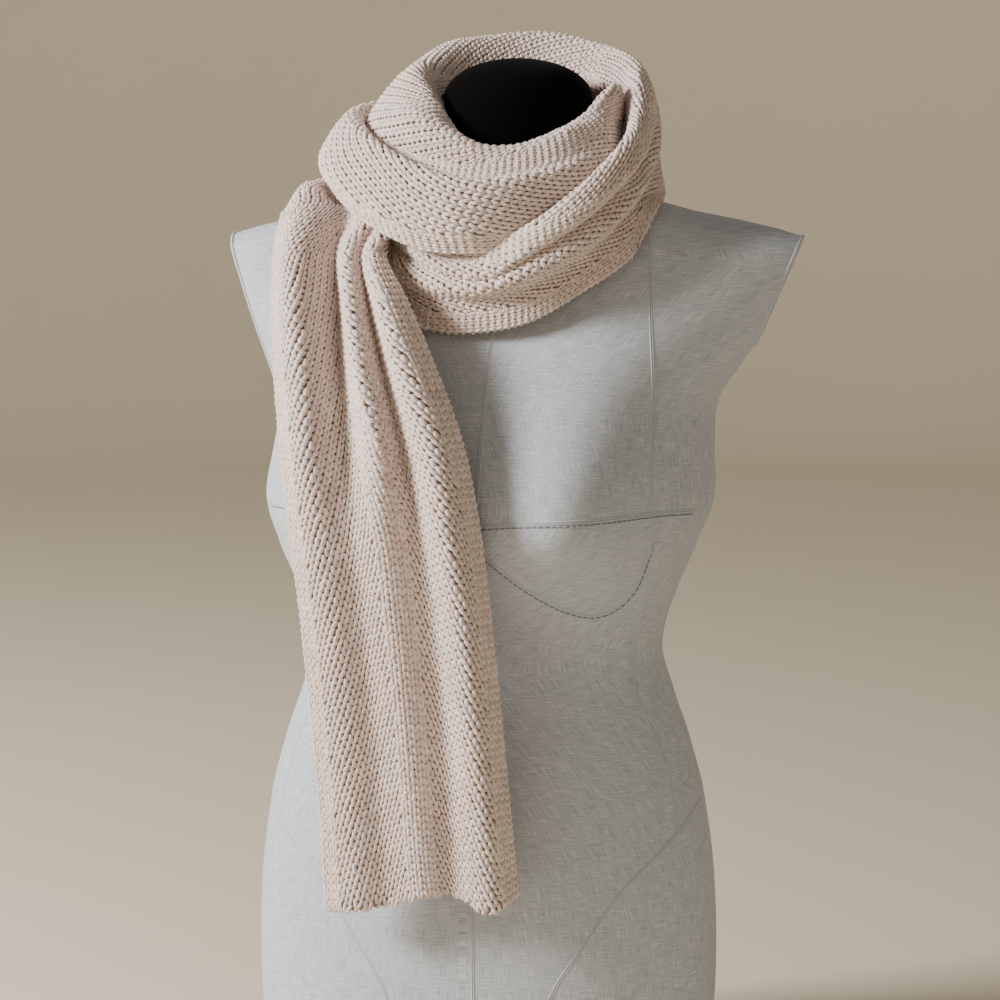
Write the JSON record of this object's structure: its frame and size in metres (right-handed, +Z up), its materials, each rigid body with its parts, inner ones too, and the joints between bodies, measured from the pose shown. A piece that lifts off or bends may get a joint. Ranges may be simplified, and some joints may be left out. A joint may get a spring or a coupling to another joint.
{
  "type": "knit scarf on dress form",
  "caption": "Chunky knit scarf wound round the neck of a limbless linen dress form, with a folded tail hanging down the front.",
  "frame": {"origin": "middle of the dress form's flat bottom", "axes": "+Z up, -Y to the front, +X to the right of someone looking at the front"},
  "size_m": [0.4067, 0.2853, 0.7717],
  "materials": {
    "wool": "chunky beige-pink wool knit",
    "linen": "grey-blue slubby linen, stretched smooth",
    "cap": "matt black"
  },
  "bodies": {
    "root": {"torso": "linen", "neck_cap": "cap", "tail": "wool", "back_turn": "wool", "front_turn": "wool", "collar_turn": "wool", "outer_turn": "wool", "tucked_end": "wool"}
  },
  "joints": []
}
